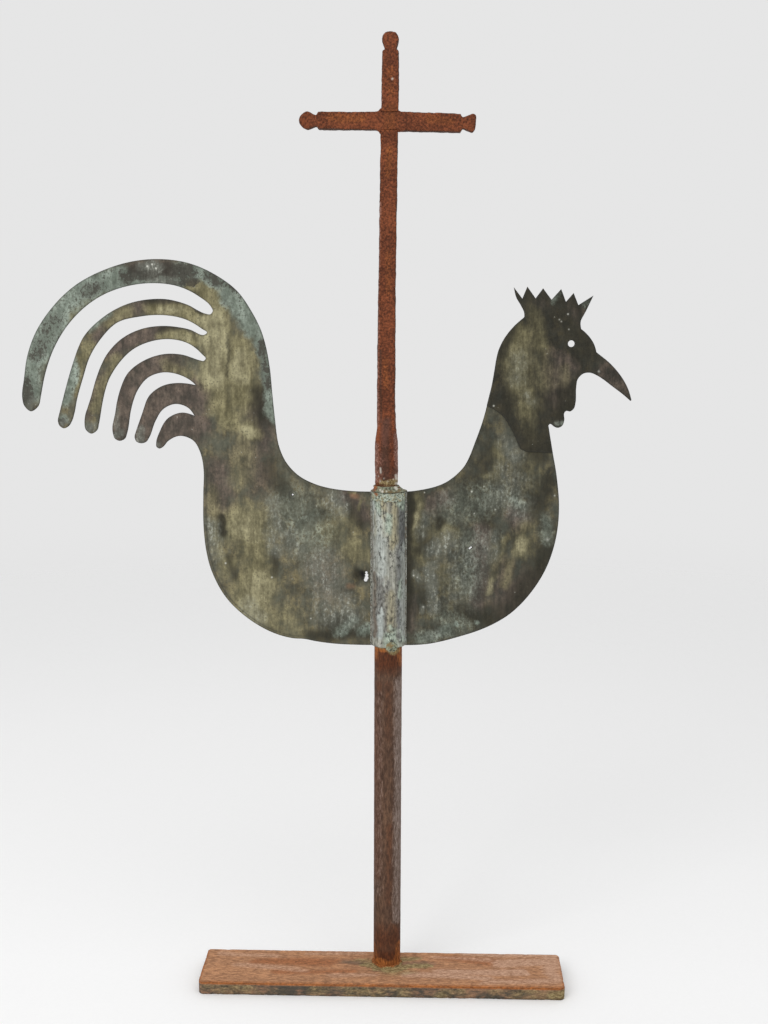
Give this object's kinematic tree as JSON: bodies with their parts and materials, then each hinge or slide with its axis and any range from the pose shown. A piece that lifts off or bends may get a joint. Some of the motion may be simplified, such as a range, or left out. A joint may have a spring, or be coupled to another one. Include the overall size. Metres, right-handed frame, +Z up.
{
  "type": "weather vane",
  "caption": "Cockerel weather vane in sheet copper that spins on the round shank of a forged iron cross, on a tube post and flat plate.",
  "frame": {"origin": "where the turning axis meets the underside of the base plate", "axes": "+X along the plate and along the vane towards the head, +Y from the front face to the back, +Z up along the turning axis"},
  "size_m": [0.646, 0.08, 1.0217],
  "materials": {
    "plate_iron": "rusted flat bar with worn pale streaks",
    "weld_crust": "weld bead under yellow-green corrosion",
    "post_iron": "smooth brown rust",
    "forged_iron": "pitted red-brown rust",
    "bronze": "machined bronze",
    "solder": "grey-green weathered solder",
    "sleeve_copper": "streaked grey, verdigris and ochre patina",
    "tail_copper": "patina from verdigris to ochre and purple-brown",
    "breast_copper": "dark grey-brown patina with ochre streaks",
    "head_copper": "dark patina with an olive-ochre centre"
  },
  "bodies": {
    "stand": {"base_plate": "plate_iron", "foot_weld": "weld_crust", "post_tube": "post_iron", "shank_stop": "post_iron", "thrust_washer": "bronze", "cross_upright": "forged_iron", "cross_bar": "forged_iron", "storm_collar": "solder"},
    "vane": {"sleeve_front": "sleeve_copper", "sleeve_back": "sleeve_copper", "lower_bush": "bronze", "upper_bush": "bronze", "tail_sheet_front": "tail_copper", "tail_sheet_back": "tail_copper", "breast_sheet_front": "breast_copper", "breast_sheet_back": "breast_copper", "head_plate_front": "head_copper", "head_plate_back": "head_copper", "sleeve_solder_front": "solder", "sleeve_solder_back": "solder", "crown_solder": "solder", "drip_solder": "solder"}
  },
  "joints": [
    {"name": "vane_spin", "type": "hinge", "parent": "stand", "child": "vane", "pos_m": [0, 0, 0.47], "axis": [0, 0, 1], "continuous": true}
  ]
}
